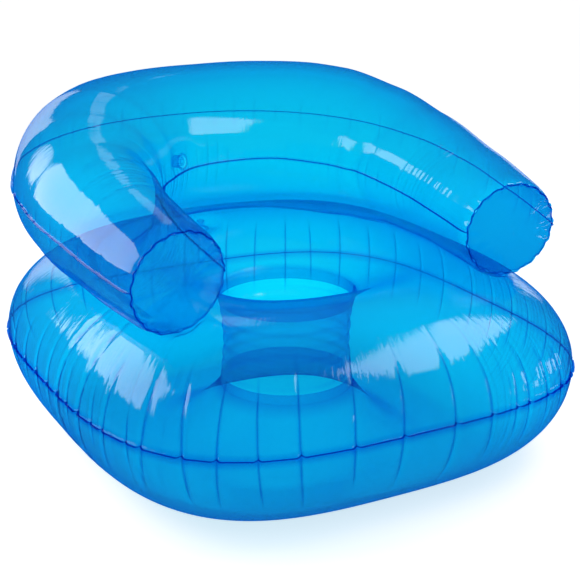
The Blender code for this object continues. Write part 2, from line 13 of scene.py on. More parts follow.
import bpy
import numpy as np
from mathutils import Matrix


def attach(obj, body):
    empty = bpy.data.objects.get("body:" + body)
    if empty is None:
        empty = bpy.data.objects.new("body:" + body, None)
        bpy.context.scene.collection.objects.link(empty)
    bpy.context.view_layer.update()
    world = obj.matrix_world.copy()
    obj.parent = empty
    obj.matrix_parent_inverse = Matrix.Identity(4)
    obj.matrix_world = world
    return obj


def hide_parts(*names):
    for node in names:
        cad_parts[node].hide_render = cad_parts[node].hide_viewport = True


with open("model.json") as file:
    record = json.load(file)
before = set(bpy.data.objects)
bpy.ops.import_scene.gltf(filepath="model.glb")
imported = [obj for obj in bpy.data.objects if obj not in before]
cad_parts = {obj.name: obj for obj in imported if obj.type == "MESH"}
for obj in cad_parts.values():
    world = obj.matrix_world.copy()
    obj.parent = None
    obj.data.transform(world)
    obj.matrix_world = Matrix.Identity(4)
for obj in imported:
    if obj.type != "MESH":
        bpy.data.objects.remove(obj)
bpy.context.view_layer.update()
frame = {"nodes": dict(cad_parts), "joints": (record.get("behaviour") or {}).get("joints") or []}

# %% [markdown]
# ## Camera
#
# The camera comes first, because every later choice is judged through it. Its place was worked
# out from the photograph: the weld line round the seat and the two arm ends fix the direction,
# height and distance, and the size of the picture fixes the lens.

# %% Camera
CAMERA_PLACE = (-1.212345, -2.306133, 1.179046)
CAMERA_AIM = (0.02798, 0.00542, 0.29913)


def pointing(place, aim):
    """A rotation that looks from place to aim, level with the horizon."""
    from mathutils import Vector
    return (Vector(aim) - Vector(place)).to_track_quat("-Z", "Y").to_euler()


camera_data = bpy.data.cameras.new("camera")
camera_data.lens = 80.22
camera_data.sensor_width = 36.0
camera = bpy.data.objects.new("camera", camera_data)
camera.location = CAMERA_PLACE
camera.rotation_euler = pointing(CAMERA_PLACE, CAMERA_AIM)
bpy.context.scene.collection.objects.link(camera)
bpy.context.scene.camera = camera
print("camera", [round(value, 3) for value in camera.location], "lens", camera_data.lens)

# %% [markdown]
# ## Studio
#
# Clear film has almost no colour of its own in light that falls on it. It shows two things: what
# is behind it, tinted, and what it mirrors. So the backdrop is white for rays that the camera
# sends straight or through the film, and the studio stays dim for rays that the film mirrors,
# apart from a few big soft lamps. Those lamps draw the pale bands and patches on the chair.

# %% Studio world and render limits
scene = bpy.context.scene
scene.view_settings.view_transform = "Standard"
scene.cycles.max_bounces = 40
scene.cycles.transmission_bounces = 36
scene.cycles.transparent_max_bounces = 48
scene.cycles.glossy_bounces = 6
scene.cycles.diffuse_bounces = 2
scene.cycles.caustics_refractive = False
scene.cycles.caustics_reflective = False

AMBIENT = 0.52
MIRRORED_STUDIO = (0.02, 0.022, 0.025)


def path_mix(nodes, links, first, second, operation):
    """Two kinds of ray joined: MAXIMUM for either of them, GREATER_THAN for the first alone."""
    path = nodes.new("ShaderNodeLightPath")
    joined = nodes.new("ShaderNodeMath")
    joined.operation = operation
    links.new(path.outputs[first], joined.inputs[0])
    links.new(path.outputs[second], joined.inputs[1])
    return joined.outputs[0]


world = bpy.data.worlds.new("studio")
scene.world = world
world.use_nodes = True
nodes, links = world.node_tree.nodes, world.node_tree.links
nodes.clear()
ambient = nodes.new("ShaderNodeBackground")
ambient.inputs["Color"].default_value = (1, 1, 1, 1)
ambient.inputs["Strength"].default_value = AMBIENT
mirrored = nodes.new("ShaderNodeBackground")
mirrored.inputs["Color"].default_value = (*MIRRORED_STUDIO, 1)
white = nodes.new("ShaderNodeBackground")
white.inputs["Color"].default_value = (1, 1, 1, 1)
for_mirrors = nodes.new("ShaderNodeMixShader")
links.new(path_mix(nodes, links, "Is Glossy Ray", "Is Transmission Ray", "GREATER_THAN"), for_mirrors.inputs[0])
links.new(ambient.outputs[0], for_mirrors.inputs[1])
links.new(mirrored.outputs[0], for_mirrors.inputs[2])
for_camera = nodes.new("ShaderNodeMixShader")
links.new(path_mix(nodes, links, "Is Camera Ray", "Is Transmission Ray", "MAXIMUM"), for_camera.inputs[0])
links.new(for_mirrors.outputs[0], for_camera.inputs[1])
links.new(white.outputs[0], for_camera.inputs[2])
output = nodes.new("ShaderNodeOutputWorld")
links.new(for_camera.outputs[0], output.inputs["Surface"])
print("world: white behind, ambient", AMBIENT)

# %% Floor
FLOOR_SIZE = 40.0
bpy.ops.mesh.primitive_plane_add(size=FLOOR_SIZE, location=(0, 0, -0.0005))
floor = bpy.context.object
floor.name = "studio_floor"
paper = bpy.data.materials.new("white paper floor")
paper.use_nodes = True
nodes, links = paper.node_tree.nodes, paper.node_tree.links
nodes.clear()
matt = nodes.new("ShaderNodeBsdfDiffuse")
matt.inputs["Color"].default_value = (0.80, 0.80, 0.80, 1)
lift = nodes.new("ShaderNodeEmission")
lift.inputs["Strength"].default_value = 0.60
# Painted shadow: under the chair the floor's lift turns blue, standing in for the light that falls through the blue
# film.
painted_shadow_share = nodes.new("ShaderNodeMapRange")
painted_shadow_share.interpolation_type = "SMOOTHSTEP"
for label, value in (("From Min", 0.24), ("From Max", 0.40), ("To Min", 1.0), ("To Max", 0.0)):
    painted_shadow_share.inputs[label].default_value = value
place = nodes.new("ShaderNodeTexCoord")
from_column = nodes.new("ShaderNodeVectorMath")
from_column.operation = "DISTANCE"
from_column.inputs[1].default_value = (0, 0.02, 0)
links.new(place.outputs["Object"], from_column.inputs[0])
links.new(from_column.outputs["Value"], painted_shadow_share.inputs["Value"])
lift_with_painted_shadow = nodes.new("ShaderNodeMix")
lift_with_painted_shadow.data_type = "RGBA"
lift_with_painted_shadow.inputs[6].default_value = (1, 1, 1, 1)
lift_with_painted_shadow.inputs[7].default_value = (0.35, 0.80, 1, 1)
links.new(painted_shadow_share.outputs[0], lift_with_painted_shadow.inputs[0])
links.new(lift_with_painted_shadow.outputs[2], lift.inputs["Color"])
both = nodes.new("ShaderNodeAddShader")
links.new(matt.outputs[0], both.inputs[0])
links.new(lift.outputs[0], both.inputs[1])
dim = nodes.new("ShaderNodeEmission")
dim.inputs["Color"].default_value = (*MIRRORED_STUDIO, 1)
seen = nodes.new("ShaderNodeMixShader")
links.new(path_mix(nodes, links, "Is Glossy Ray", "Is Transmission Ray", "GREATER_THAN"), seen.inputs[0])
links.new(both.outputs[0], seen.inputs[1])
links.new(dim.outputs[0], seen.inputs[2])
output = nodes.new("ShaderNodeOutputMaterial")
links.new(seen.outputs[0], output.inputs["Surface"])
floor.data.materials.append(paper)
print("floor", FLOOR_SIZE, "m square")


# %% Soft lamps
def soft_lamp(name, azimuth, height, distance, size, power, aim=(0.0, 0.0, 0.35), shape="RECTANGLE"):
    """A soft lamp. Azimuth 0 is in front of the chair, 90 to its right, in degrees."""
    side, rise = math.radians(azimuth), math.radians(height)
    data = bpy.data.lights.new(name, "AREA")
    data.shape = shape
    data.size, data.size_y = size
    data.energy = power
    lamp = bpy.data.objects.new(name, data)
    lamp.location = (aim[0] + math.sin(side) * math.cos(rise) * distance,
                     aim[1] - math.cos(side) * math.cos(rise) * distance,
                     aim[2] + math.sin(rise) * distance)
    lamp.rotation_euler = pointing(lamp.location, aim)
    lamp.visible_camera = False
    lamp.visible_transmission = False
    scene.collection.objects.link(lamp)
    radiance = power / (size[0] * size[1] * math.pi)
    print(f"lamp {name}: {size[0]} x {size[1]} m, radiance {radiance:.2f}")
    return lamp


soft_lamp("left softbox", -117.6, 20, 1.09, (1.30, 0.78), 11.0, (-0.245, -0.09, 0.54))
soft_lamp("right softbox", 56.7, 35, 1.07, (0.9, 0.5), 4.95, (-0.082, -0.225, 0.5))
soft_lamp("back softbox", -174, 12, 2.6, (0.9, 1.35), 5)
soft_lamp("arm strip", 149, 37, 2.6, (0.44, 0.56), 0.50, (-0.542, -0.076, 0.70))
soft_lamp("right rim lamp", 122, 4, 2.4, (0.8, 0.5), 1.8)
soft_lamp("low right lamp", 76, 0, 1.5, (0.30, 0.30), 0.8, (0.306, -0.52, 0.245))
soft_lamp("low lamp for the arm end", 47, -20, 1.0, (0.12, 0.10), 0.1, (0.363, -0.308, 0.467))

# %% [markdown]
# ## The film
#
# The film is a coloured clear vinyl 0.4 mm thick. It is far too thin to bend what is seen through
# it, so its body has a refractive index of 1 and only takes colour away. Each sheet's two faces
# take half of that colour each. The gloss is a separate clear coat, which mirrors
# the lamps and, at a glancing angle, the dim studio. That darkens the edges of the chair. The film's
# colour is also darker at a glancing angle: partly the longer path through the film, partly painted
# shade for the dim studio mirrored there.

# %% Film material
FILM_TINT = (0.03, 0.73, 0.925)
# Glancing tint: partly the longer path through the film, partly painted shade.
GLANCING_PATH_AND_SHADE_TINT = (0.0, 0.36, 0.82)
WELD_TINT = (0.5, 0.66, 0.90)
# Painted shade along the crease of each pleat.
CREASE_SHADE_TINT = (0.0, 0.30, 0.72)


def film_material(name, tint=FILM_TINT, ripple=(150.0, 9.0), ripple_height=0.0008):
    """Clear film: tinted all through, darker where two sheets are welded, with painted shade at a glancing angle and
    along pleat creases, and a rippled gloss.
    """
    material = bpy.data.materials.new(name)
    material.use_nodes = True
    nodes, links = material.node_tree.nodes, material.node_tree.links
    nodes.clear()
    output = nodes.new("ShaderNodeOutputMaterial")
    film = nodes.new("ShaderNodeBsdfPrincipled")
    film.inputs["Roughness"].default_value = 0.0
    film.inputs["IOR"].default_value = 1.0
    film.inputs["Transmission Weight"].default_value = 1.0
    film.inputs["Coat Weight"].default_value = 1.0
    film.inputs["Coat Roughness"].default_value = 0.03
    film.inputs["Coat IOR"].default_value = 1.5

    # Glancing angles take the darker tint: partly the longer path through the film, partly painted shade.
    slant = nodes.new("ShaderNodeLayerWeight")
    slant.inputs["Blend"].default_value = 0.5
    deeper = nodes.new("ShaderNodeMath")
    deeper.operation = "POWER"
    deeper.inputs[1].default_value = 1.6
    links.new(slant.outputs["Facing"], deeper.inputs[0])
    colour = nodes.new("ShaderNodeRGB")
    colour.outputs[0].default_value = (*tint, 1)
    shade = colour.outputs[0]
    # The fold mark is a thin line along each pleat crease, where the film paints shade.
    fold = nodes.new("ShaderNodeAttribute")
    fold.attribute_name = "fold"
    weld = nodes.new("ShaderNodeAttribute")
    weld.attribute_name = "weld"
    for factor, darker in ((deeper.outputs[0], GLANCING_PATH_AND_SHADE_TINT), (fold.outputs["Fac"], CREASE_SHADE_TINT),
                           (weld.outputs["Fac"], WELD_TINT)):
        mix = nodes.new("ShaderNodeMix")
        mix.data_type = "RGBA"
        mix.blend_type = "MULTIPLY" if darker is WELD_TINT else "MIX"
        links.new(factor, mix.inputs[0])
        links.new(shade, mix.inputs[6])
        mix.inputs[7].default_value = (*darker, 1)
        shade = mix.outputs[2]
    links.new(shade, film.inputs["Base Color"])
    matt = nodes.new("ShaderNodeMapRange")
    matt.inputs["To Min"].default_value = 1.0
    matt.inputs["To Max"].default_value = 0.08
    links.new(weld.outputs["Fac"], matt.inputs["Value"])
    edge_on = nodes.new("ShaderNodeMapRange")
    edge_on.interpolation_type = "SMOOTHSTEP"
    for label, value in (("From Min", 0.65), ("From Max", 0.95), ("To Min", 1.0), ("To Max", 0.25)):
        edge_on.inputs[label].default_value = value
    links.new(slant.outputs["Facing"], edge_on.inputs["Value"])
    gloss = nodes.new("ShaderNodeMath")
    gloss.operation = "MULTIPLY"
    links.new(matt.outputs[0], gloss.inputs[0])
    links.new(edge_on.outputs[0], gloss.inputs[1])
    links.new(gloss.outputs[0], film.inputs["Coat Weight"])

    place = nodes.new("ShaderNodeUVMap")
    place.uv_map = "film"
    stretch = nodes.new("ShaderNodeMapping")
    stretch.inputs["Scale"].default_value = (ripple[0], ripple[1], 1)
    links.new(place.outputs[0], stretch.inputs["Vector"])
    fine = nodes.new("ShaderNodeTexNoise")
    fine.inputs["Scale"].default_value = 1.0
    fine.inputs["Detail"].default_value = 2.0
    links.new(stretch.outputs[0], fine.inputs["Vector"])
    bump = nodes.new("ShaderNodeBump")
    bump.inputs["Strength"].default_value = 1.0
    bump.inputs["Distance"].default_value = ripple_height
    links.new(fine.outputs["Fac"], bump.inputs["Height"])
    links.new(bump.outputs[0], film.inputs["Coat Normal"])

    clear = nodes.new("ShaderNodeBsdfTransparent")
    clear.inputs["Color"].default_value = (math.sqrt(tint[0]), math.sqrt(tint[1]),
                                           math.sqrt(tint[2]), 1)
    shadows = nodes.new("ShaderNodeMixShader")
    path = nodes.new("ShaderNodeLightPath")
    links.new(path.outputs["Is Shadow Ray"], shadows.inputs[0])
    links.new(film.outputs[0], shadows.inputs[1])
    links.new(clear.outputs[0], shadows.inputs[2])
    links.new(shadows.outputs[0], output.inputs["Surface"])
    return material


seat_film = film_material("seat film", ripple_height=0.0005)
bolster_film = film_material("bolster film", ripple_height=0.0003)
column_film = film_material("column film", tint=(0.05, 0.90, 0.985))
lit_and_shaded_disc_films = {}
# One film for both arm ends, painted lighter on the left disc and darker on the right: painted light and painted
# shade.
for side, tint in (("left", (0.03, 0.95, 0.98)), ("right", (0.015, 0.50, 0.80))):
    lit_and_shaded_disc_films[side] = film_material(side + " arm end film", tint, (60.0, 60.0), 0.0004)
print("film materials:", len(bpy.data.materials))

# %% [markdown]
# ## Laying a sheet
#
# A film sheet starts as a flat grid, as it does on the cutting table, and each of its crossings is
# carried to its place on the blown-up shape. A place on the grid is worth two numbers: how far
# round the seam, and how far across the sheet. The sheet's thickness is added last, outwards.

# %% Sheet helper
FILM = 0.0004


def lay_sheet(name, points, weld, fold, around, across, closed, outward_from):
    """A film through rows of points. around and across are in metres along the sheet."""
    rows, columns = points.shape[:2]
    bpy.ops.object.select_all(action="DESELECT")
    bpy.ops.mesh.primitive_grid_add(x_subdivisions=columns - 1, y_subdivisions=rows - 1, size=1)
    piece = bpy.context.object
    piece.name = name
    mesh = piece.data
    mesh.vertices.foreach_set("co", points.reshape(-1).astype(np.float32))
    # weld marks the welds; fold marks the pleat creases, where the film material paints shade.
    for label, values in (("weld", weld), ("fold", fold)):
        mark = mesh.attributes.new(label, "FLOAT", "POINT")
        mark.data.foreach_set("value", values.reshape(-1).astype(np.float32))
    corner = np.empty(len(mesh.loops), np.int32)
    mesh.loops.foreach_get("vertex_index", corner)
    place = np.stack([around.reshape(-1)[corner], across.reshape(-1)[corner]], -1)
    mesh.uv_layers[0].name = "film"
    mesh.uv_layers[0].data.foreach_set("uv", place.reshape(-1).astype(np.float32))
    mesh.update()
    centres = np.empty(len(mesh.polygons) * 3)
    normals = np.empty(len(mesh.polygons) * 3)
    mesh.polygons.foreach_get("center", centres)
    mesh.polygons.foreach_get("normal", normals)
    away = centres.reshape(-1, 3) - outward_from(centres.reshape(-1, 3))
    bpy.ops.object.mode_set(mode="EDIT")
    bpy.ops.mesh.select_all(action="SELECT")
    if closed:
        bpy.ops.mesh.remove_doubles(threshold=0.00002)
    if (away * normals.reshape(-1, 3)).sum() < 0:
        bpy.ops.mesh.flip_normals()
    bpy.ops.object.mode_set(mode="OBJECT")
    return piece


def thicken(piece, material, body="chair"):
    """Give a laid sheet its thickness outwards, its gloss and its place in the chair."""
    bpy.ops.object.select_all(action="DESELECT")
    bpy.context.view_layer.objects.active = piece
    piece.select_set(True)
    wall = piece.modifiers.new("film thickness", "SOLIDIFY")
    wall.thickness = FILM
    wall.offset = 1.0
    bpy.ops.object.modifier_apply(modifier=wall.name)
    bpy.ops.object.shade_smooth()
    piece.data.materials.clear()
    piece.data.materials.append(material)
    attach(piece, body)
    piece.data.calc_loop_triangles()
    low = np.array(piece.bound_box).min(0).round(3)
    high = np.array(piece.bound_box).max(0).round(3)
    print(f"{piece.name}: {len(piece.data.loop_triangles)} triangles, {low} to {high}")
    return piece


# %% [markdown]
# ## Pleats
#
# Two flat sheets welded together along their edge can't both become round. The blown-up edge has
# to get shorter, so the film gathers into pleats that cross the weld. Each pleat is a sharp
# crease with a soft swell on both sides. It is deepest at the weld and dies out up the sheet.
# Along each crease the film's colour also gets a thin line of painted shade.

# %% Pleat helper
def surface_normals(points, closed):
    """Unit normals of a grid of points."""
    if closed:
        ring = np.concatenate([points[:, -2:-1], points, points[:, 1:2]], 1)
        along = ring[:, 2:] - ring[:, :-2]
    else:
        along = np.gradient(points, axis=1)
    over = np.gradient(points, axis=0)
    normal = np.cross(along, over)
    return normal / np.maximum(np.linalg.norm(normal, axis=-1, keepdims=True), 1e-12)


def gathered(place, distance, length, pleats, total=None):
    """How far a film is drawn in. place is where each column meets the weld, distance how far
    each point lies from it, and a pleat is its place, depth, half width, reach and tilt."""
    drawn = np.zeros(distance.shape)
    crease_shade = np.zeros(distance.shape)
    for centre, depth, half_width, reach, tilt in pleats:
        offset = place - centre
        if total:
            offset = (offset + total / 2) % total - total / 2
        near = np.abs(offset[0] if offset.ndim > 1 else offset) < 6 * half_width + abs(tilt) * reach
        if not near.any():
            continue
        local = np.broadcast_to(offset, distance.shape)[:, near]
        local = local - tilt * distance[:, near]
        fade = np.clip(1 - distance[:, near] / reach, 0, 1)
        fade = fade * fade * (3 - 2 * fade)
        width = half_width * (1 + 0.8 * (1 - fade))
        crease = 0.45 * np.exp(-np.abs(local) / width) + 0.55 * np.exp(-(local / (1.9 * width)) ** 2)
        swell = 0.30 * np.exp(-(local / (3.6 * width)) ** 2)
        drawn[:, near] += depth * fade * (crease - swell)
        # A thin line along the crease, which the film material paints as shade.
        line = np.exp(-(local / (0.62 * half_width)) ** 2) * np.clip(2.2 * fade, 0, 1)
        crease_shade[:, near] = np.maximum(crease_shade[:, near], line * min(1, depth / 0.004))
    return drawn, crease_shade


def columns_for(length, spacing, pleats, total=None):
    """Column places along a weld: evenly spread, and close together at each pleat."""
    places = list(np.arange(0, length, spacing))
    for centre, depth, half_width, reach, tilt in pleats:
        for step in (-4.2, -2.4, -1.3, -0.6, 0, 0.6, 1.3, 2.4, 4.2) if depth > .0018 else (-1.3, 0, 1.3):
            places.append(centre + step * half_width)
    places = np.sort(np.array(places))
    if total:
        places = np.sort(places % total)
    places = places[(places >= 0) & (places <= length)]
    keep = [places[0]]
    for value in places[1:]:
        if value - keep[-1] > 0.0011:
            keep.append(value)
    return np.array(keep)


print("pleat helper ready")

# %% [markdown]
# ## Seat cushion
#
# The cushion is a rounded square in plan. Its top sheet rises from the column's ring over a broad
# crest and falls in a quarter turn to the weld, and its bottom sheet does the same downwards, with
# the ring that it stands on pressed flat. The sizes repeat those of the CAD sheets.

# %% Seat shape
SEAT_HALF_WIDTH = 0.526
SEAT_FRONT = 0.568
SEAT_BACK = 0.548
SEAT_POWER = 3.3
SEAT_DROP = 0.206
SEAT_RISE = 0.190
SEAT_BACK_RISE = 0.208
FLOOR_FLAT = 0.004
SEAT_Y = (SEAT_FRONT - SEAT_BACK) / 2
SEAM_Z = SEAT_DROP - FLOOR_FLAT + FILM
COLUMN_Y = SEAT_Y - 0.040
COLUMN_TOP = 0.595 * SEAT_RISE
COLUMN_BOTTOM = 0.444 * SEAT_DROP
COLUMN_HEM = 0.022
TOP_RADIUS, WAIST_RADIUS, BOTTOM_RADIUS = 0.1485, 0.134, 0.143
GAP = 0.0003
MARGIN = 0.005


def seat_edge(angle):
    across, along = np.sin(angle), np.cos(angle)
    depth = np.where(along > 0, SEAT_BACK, SEAT_FRONT)
    reach = (np.abs(across / SEAT_HALF_WIDTH) ** SEAT_POWER
             + np.abs(along / depth) ** SEAT_POWER) ** (-1 / SEAT_POWER)
    return np.stack([across * reach, SEAT_Y + along * reach, np.zeros_like(angle)], -1)


def column_edge(angle, radius):
    return np.stack([np.sin(angle) * radius, COLUMN_Y + np.cos(angle) * radius,
                     np.zeros_like(angle)], -1)


def crown(share, crest, height, ring_height, power):
    out = np.clip((share - crest) / (1 - crest), 0, 1)
    outer = height * np.sqrt(np.maximum(0, 1 - out * out))
    inward = np.clip((crest - share) / crest, 0, 1)
    inner = height - (height - ring_height) * inward ** power
    return np.where(share >= crest, outer, inner)


def column_radius(height):
    middle = (COLUMN_TOP - COLUMN_BOTTOM) / 2
    half = (COLUMN_TOP + COLUMN_BOTTOM) / 2
    out = np.abs(height - middle) / half
    end = np.where(height > middle, TOP_RADIUS, BOTTOM_RADIUS)
    return WAIST_RADIUS + (end - WAIST_RADIUS) * out ** 2


turn = np.linspace(0, 2 * math.pi, 7201)
edge_steps = np.linalg.norm(np.diff(seat_edge(turn), axis=0), axis=1)
edge_length = np.concatenate([[0], np.cumsum(edge_steps)])
SEAT_ROUND = edge_length[-1]
print("seat weld line", round(SEAT_ROUND, 3), "m round")

# %% Seat pleats
# Place round the weld from the middle of the back clockwise, depth, half width, reach and tilt.
# Those in front are where the photograph shows them, and the rest are spread as unevenly.
SEAT_PLEATS = [
    (1.344, .0040, .0030, .10, .10), (1.489, .0045, .0030, .10, .15), (1.547, .0040, .0026, .12, .10),
    (1.604, .0050, .0030, .14, .05), (1.639, .0035, .0026, .09, .00), (1.700, .0046, .0030, .15, .05),
    (1.784, .0052, .0032, .19, .00), (1.896, .0050, .0032, .17, -.04), (1.995, .0050, .0032, .13, .00),
    (2.099, .0055, .0034, .19, .04), (2.175, .0045, .0030, .16, .04), (2.247, .0052, .0032, .17, -.03),
    (2.310, .0055, .0034, .17, .05), (2.395, .0055, .0034, .16, -.10), (2.430, .0030, .0024, .06, .00),
    (2.501, .0052, .0032, .16, -.12), (2.540, .0035, .0026, .08, -.05), (2.597, .0062, .0036, .27, -.20),
    (2.650, .0035, .0026, .10, -.10), (2.704, .0066, .0036, .25, -.22), (2.760, .0040, .0028, .13, -.10),
    (2.830, .0045, .0030, .12, -.05), (2.905, .0040, .0028, .10, .00), (2.990, .0045, .0030, .11, .05),
    (3.096, .0046, .0030, .12, .00), (3.180, .0040, .0028, .10, .05), (3.262, .0048, .0030, .12, .00),
    (3.360, .0045, .0030, .13, -.05), (3.452, .0040, .0028, .10, .00), (3.548, .0046, .0030, .13, .00),
    (3.640, .0044, .0030, .12, .05), (0.020, .0046, .0030, .13, .00), (0.136, .0046, .0030, .13, .00),
    (0.215, .0042, .0028, .11, .03), (0.298, .0046, .0030, .13, .00), (0.365, .0040, .0028, .10, -.03),
    (0.443, .0046, .0030, .13, .00), (0.526, .0044, .0030, .12, .00), (0.610, .0048, .0030, .13, .04),
    (0.700, .0042, .0028, .11, .00), (0.790, .0046, .0030, .13, .00), (0.905, .0044, .0030, .12, .00),
    (0.983, .0042, .0028, .11, .00), (1.059, .0046, .0030, .12, .05), (1.121, .0040, .0028, .10, .00),
    (1.200, .0046, .0030, .12, .00), (1.270, .0038, .0026, .09, .05), (1.420, .0035, .0026, .08, .00),
]
SEAT_PLEATS = [(c, d * 1.6, w * .95, r * 1.15, t) for c, d, w, r, t in SEAT_PLEATS]
luck = np.random.default_rng(3)
for start, stop, step, deep in ((.92, 1.72, .018, 1.0), (2.30, 2.80, .040, .6)):
    place = start
    while place < stop:
        SEAT_PLEATS.append((place, deep * luck.uniform(.0006, .0018), .0022, luck.uniform(.18, .34),
                            luck.uniform(-.06, .06)))
        place += step * luck.uniform(.7, 1.3)
seat_columns = columns_for(SEAT_ROUND, 0.0112, SEAT_PLEATS, SEAT_ROUND)
seat_columns = np.append(seat_columns, seat_columns[0] + SEAT_ROUND)
seat_angles = np.interp(seat_columns % SEAT_ROUND, edge_length, turn)
print("seat pleats", len(SEAT_PLEATS), "columns", len(seat_columns))


# %% Seat rows
def seat_rows(shares, height_of, ring_radius, angles):
    """Rows of points from the ring at share 0 to the weld at share 1."""
    inner = column_edge(angles, ring_radius)
    outer = seat_edge(angles)
    share = np.asarray(shares)[:, None]
    points = inner[None] + (outer - inner)[None] * share[..., None]
    points[..., 2] = height_of(np.broadcast_to(angles, (len(shares), len(angles))),
                               np.broadcast_to(share, (len(shares), len(angles))))
    return points


def to_weld(points, weld_row):
    """How far each point lies from the weld row, along its own column."""
    steps = np.linalg.norm(np.diff(points, axis=0), axis=-1)
    run = np.concatenate([np.zeros((1, points.shape[1])), np.cumsum(steps, 0)])
    return np.abs(run - run[weld_row])


def draw_in(points, pleats, place, weld_row, total, closed, flat_outward):
    """Pull the film in at its pleats: along its normal, or level at the weld and its margin."""
    distance = to_weld(points, weld_row)
    drawn, crease_shade = gathered(place, distance, None, pleats, total)
    beyond = np.arange(len(points)) >= weld_row
    drawn[beyond] = drawn[weld_row]
    normal = surface_normals(points, closed)
    if (normal[len(points) // 2] * flat_outward).sum() < 0:
        normal = -normal
    level = np.clip(1 - distance / 0.012, 0, 1)[..., None]
    level[beyond] = 1
    way = normal * (1 - level) + (flat_outward[None] - (0, 0, 0.35)) * level
    return points - way * drawn[..., None], distance, crease_shade


seat_outward = seat_edge(seat_angles) - column_edge(seat_angles, TOP_RADIUS)
seat_outward /= np.linalg.norm(seat_outward, axis=-1, keepdims=True)
print("seat rows ready")

# %% [markdown]
# ## Bolster
#
# The bolster is two long U-shaped sheets welded along both edges and closed by a disc at each arm.
# Its line is worked out first: two straight arms that turn in a little, and a squarish bend behind.
# The tube is thickest where it passes the corners. The seat and the bolster are welded together
# and press each other flat there, so the line is needed before the seat's top sheet too.

# %% Bolster line
BOLSTER_HALF_WIDTH = 0.728 * SEAT_HALF_WIDTH
BOLSTER_END_Y = -0.558 * SEAT_FRONT
BOLSTER_TILT = math.radians(7.8)
BOLSTER_RUN = 0.700 * SEAT_BACK - BOLSTER_END_Y
BOLSTER_DEPTH = BOLSTER_RUN / math.cos(BOLSTER_TILT)
BOLSTER_ARM = 0.400 * BOLSTER_DEPTH
TOE_IN = 0.020
BEND_POWER = 2.35
TUBE_RADIUS = 0.166
END_RADIUS = 0.094
END_ROUNDING = 0.030
BELLY_SHARE = 1.05
CONTACT_END = 0.842 * SEAT_RISE
CONTACT_BACK = 1.016 * SEAT_RISE
BOLSTER_LIFT = CONTACT_END + 0.105
RADIUS_SHARES = ((0.00, .612), (0.20, .690), (0.40, .805), (0.53, .925),
                 (0.65, 1.018), (0.73, 1.028), (0.85, 1.010), (1.00, 1.000))

arm_along = np.linspace(0, BOLSTER_ARM, 200, endpoint=False)
arm_line = np.stack([BOLSTER_HALF_WIDTH - TOE_IN * (1 - arm_along / BOLSTER_ARM) ** 2, arm_along], -1)
bend = np.linspace(0, math.pi / 2, 401)
size = (np.cos(bend) ** BEND_POWER + np.sin(bend) ** BEND_POWER) ** (-1 / BEND_POWER)
bend_line = np.stack([BOLSTER_HALF_WIDTH * np.cos(bend) * size,
                      BOLSTER_ARM + (BOLSTER_DEPTH - BOLSTER_ARM) * np.sin(bend) * size], -1)
right_half = np.concatenate([arm_line, bend_line])
left_half = right_half[-2::-1] * (-1, 1)
tube_line = np.concatenate([right_half, left_half])
tube_run = np.concatenate([[0], np.cumsum(np.linalg.norm(np.diff(tube_line, axis=0), axis=1))])
TUBE_LENGTH = tube_run[-1]


def stations(shares):
    """Centre, tangent, inward side and radius of the tube at shares of its length."""
    shares = np.asarray(shares, float)
    goal = shares * TUBE_LENGTH
    centre = np.stack([np.interp(goal, tube_run, tube_line[:, axis]) for axis in (0, 1)], -1)
    ahead = np.stack([np.interp(goal + .006, tube_run, tube_line[:, axis]) for axis in (0, 1)], -1)
    behind = np.stack([np.interp(goal - .006, tube_run, tube_line[:, axis]) for axis in (0, 1)], -1)
    tangent = ahead - behind
    tangent /= np.linalg.norm(tangent, axis=-1, keepdims=True)
    inward = np.stack([-tangent[:, 1], tangent[:, 0]], -1)
    end = np.minimum(shares, 1 - shares)
    radius = np.zeros_like(shares)
    for (start, low), (stop, high) in zip(RADIUS_SHARES[:-1], RADIUS_SHARES[1:]):
        part = np.clip((2 * end - start) / (stop - start), 0, 1)
        blend = (part + part * part * (3 - 2 * part)) / 2
        inside = (2 * end >= start) & (2 * end <= stop)
        radius = np.where(inside, TUBE_RADIUS * (low + (high - low) * blend), radius)
    short = np.clip(1 - end * TUBE_LENGTH / END_ROUNDING, 0, 1)
    radius = END_RADIUS + (radius - END_RADIUS) * np.sqrt(1 - short * short)
    flat = np.zeros((len(shares), 1))
    return (np.hstack([centre, flat]), np.hstack([tangent, flat]), np.hstack([inward, flat]), radius)


def to_world(points):
    """From the bolster's own tilted plane to the chair."""
    c, s = math.cos(BOLSTER_TILT), math.sin(BOLSTER_TILT)
    x, y, z = points[..., 0], points[..., 1], points[..., 2]
    return np.stack([x, SEAT_Y + BOLSTER_END_Y + y * c - z * s,
                     SEAM_Z + BOLSTER_LIFT + y * s + z * c], -1)


def contact_height(y):
    part = (y - SEAT_Y - BOLSTER_END_Y) / BOLSTER_RUN
    return SEAM_Z + CONTACT_END + (CONTACT_BACK - CONTACT_END) * part


line_centre, line_tangent, line_inward, line_radius = stations(np.linspace(0, 1, 321))
line_world = to_world(line_centre)
print("bolster line", round(TUBE_LENGTH, 3), "m long")


